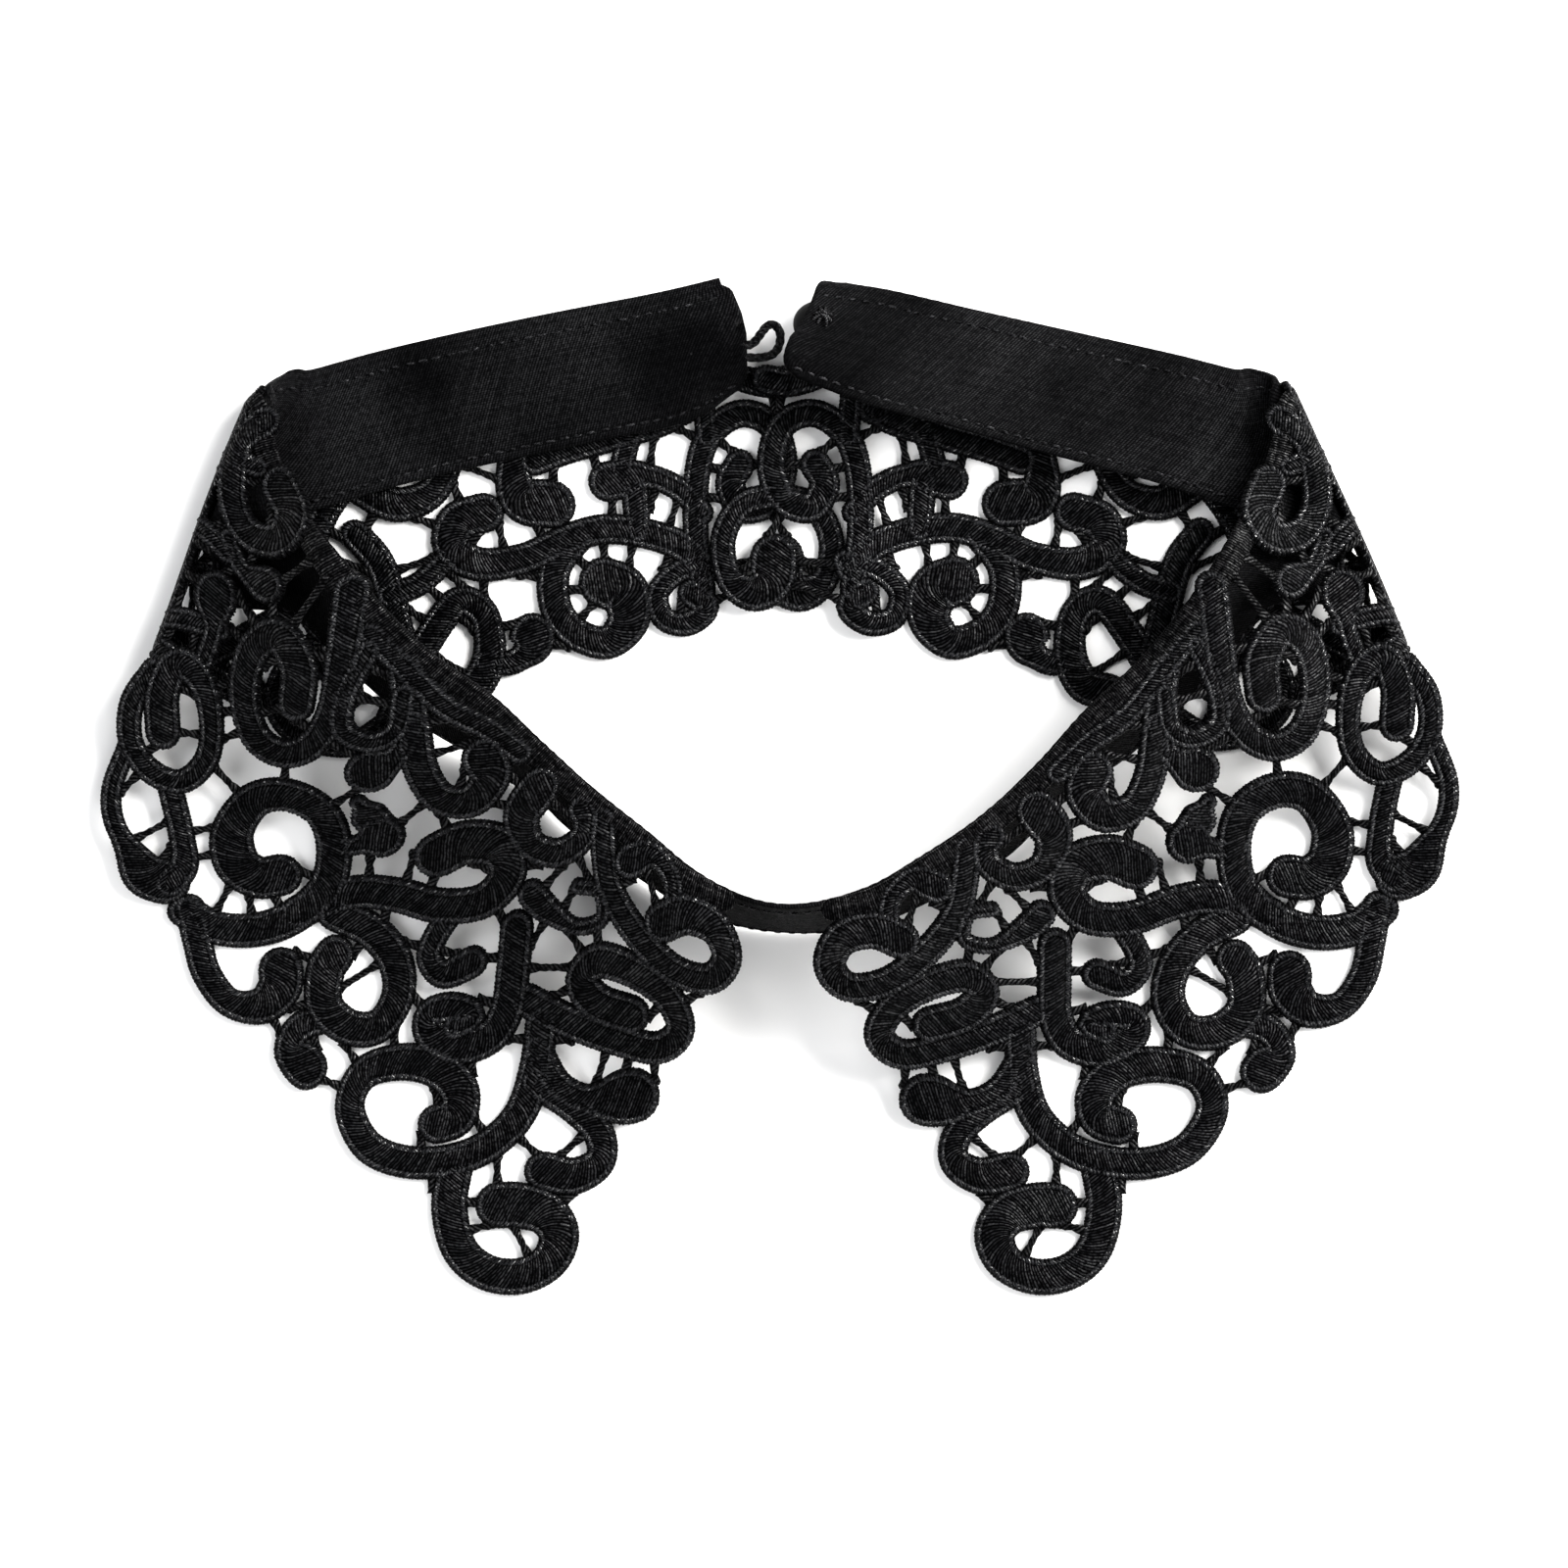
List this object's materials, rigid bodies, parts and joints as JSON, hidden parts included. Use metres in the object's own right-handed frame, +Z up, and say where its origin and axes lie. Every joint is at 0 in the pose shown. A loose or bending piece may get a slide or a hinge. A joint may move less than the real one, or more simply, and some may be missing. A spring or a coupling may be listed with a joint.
{
  "type": "detachable lace collar",
  "caption": "Detachable collar of scrollwork guipure lace on a narrow stand band, laid open with a loop and button closure at the back.",
  "frame": {"origin": "centre of the bounding box's underside, on the surface the collar lies on", "axes": "+Z up from the surface, +Y toward the back closure, +X toward the half whose band end carries the button"},
  "size_m": [0.2306, 0.173, 0.0238],
  "materials": {
    "lace": "black polyester satin-stitch guipure lace",
    "band": "black twill, topstitched",
    "button": "black, semi-gloss",
    "cord": "black twisted cord"
  },
  "bodies": {
    "root": {"lace_right": "lace", "lace_left": "lace", "neckband": "band", "button": "button", "loop": "cord"}
  },
  "joints": []
}
